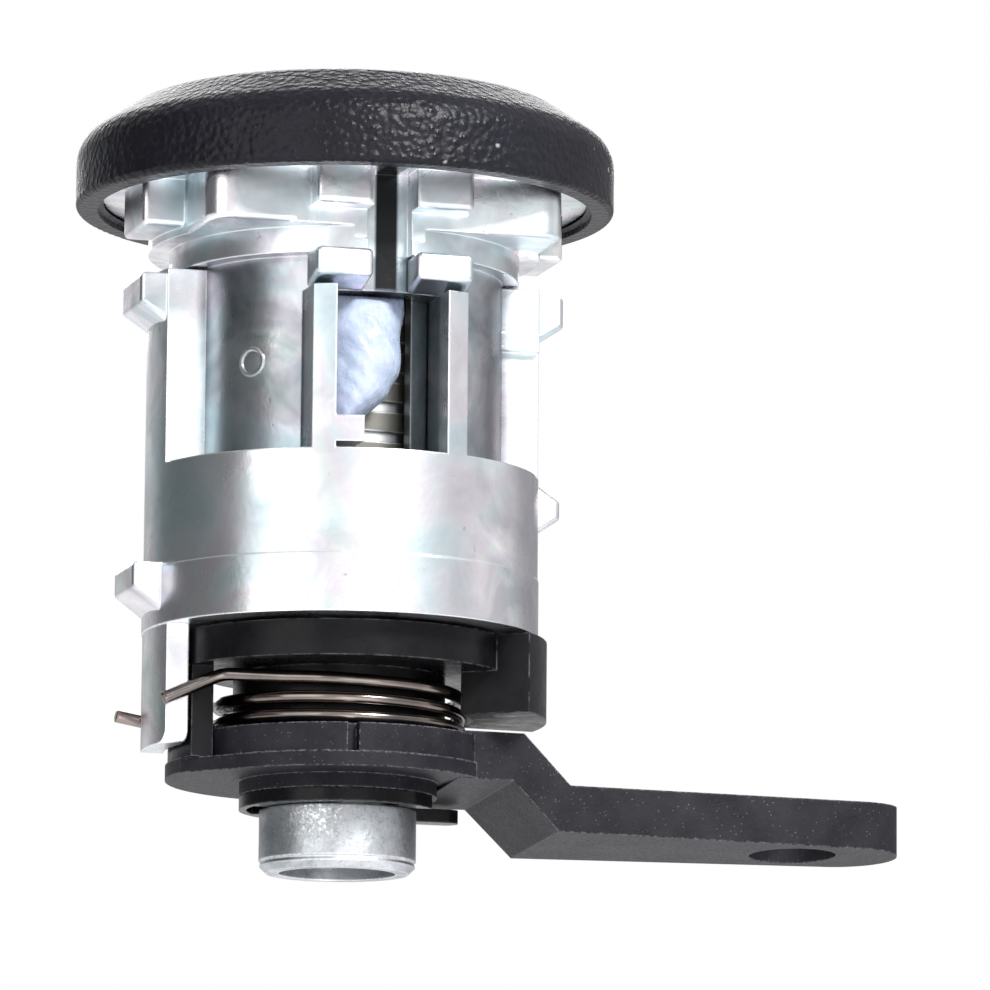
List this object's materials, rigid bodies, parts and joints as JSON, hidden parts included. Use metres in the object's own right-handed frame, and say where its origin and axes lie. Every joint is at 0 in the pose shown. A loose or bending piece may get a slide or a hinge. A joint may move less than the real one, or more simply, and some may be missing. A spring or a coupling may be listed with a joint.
{
  "type": "car door lock cylinder",
  "caption": "Round keyed lock barrel with a black trim cap, ribbed cast housing, centring torsion spring, cranked lever and hollow tail.",
  "frame": {"origin": "on the cylinder's axis, in the plane of the cap rim that seats on the door skin", "axes": "+Z along the cylinder towards the key, +X along the lever's arm, -Y towards the open window"},
  "size_m": [0.0695, 0.044, 0.0631],
  "materials": {
    "cap_black": "fine leather grain",
    "zinc": "bright passivated casting",
    "zinc_plug": "cast and turned",
    "face_zinc": "satin casting",
    "bright_steel": "stamped, bright",
    "brass": "stamped",
    "spring_steel": "drawn, oiled",
    "carrier_black": "smooth moulded",
    "lever_charcoal": "glass-filled, matte",
    "clip_black": "black phosphate"
  },
  "bodies": {
    "case": {"trim_cap": "cap_black", "front_collar": "bright_steel", "housing": "zinc", "return_spring": "spring_steel"},
    "rotor": {"plug": "zinc_plug", "plug_face": "face_zinc", "shutter_pin": "bright_steel", "shutter_spring": "spring_steel", "tumbler_disc_1": "brass", "tumbler_disc_2": "brass", "tumbler_disc_3": "brass", "tumbler_disc_4": "brass", "tumbler_disc_5": "brass", "tumbler_disc_6": "brass", "spacer_disc_1": "bright_steel", "spacer_disc_2": "bright_steel", "spacer_disc_3": "bright_steel", "spacer_disc_4": "bright_steel", "spacer_disc_5": "bright_steel", "sidebar": "brass", "sidebar_spring_1": "spring_steel", "sidebar_spring_2": "spring_steel", "spring_carrier": "carrier_black", "lever": "lever_charcoal", "retaining_clip": "clip_black"},
    "flap": {"shutter": "bright_steel"}
  },
  "joints": [
    {"name": "plug_turn", "type": "hinge", "parent": "case", "child": "rotor", "pos_m": [0, 0, 0], "axis": [0, 0, 1], "range_deg": [-70, 70], "stiffness_Nm_per_rad": 0.12, "deforming": ["return_spring"]},
    {"name": "shutter_swing", "type": "hinge", "parent": "rotor", "child": "flap", "pos_m": [0, 0.0046, 0.0053], "axis": [1, 0, 0], "range_deg": [0, 85], "stiffness_Nm_per_rad": 0.0006, "springref_deg": -17.19, "deforming": ["shutter_spring"]}
  ]
}
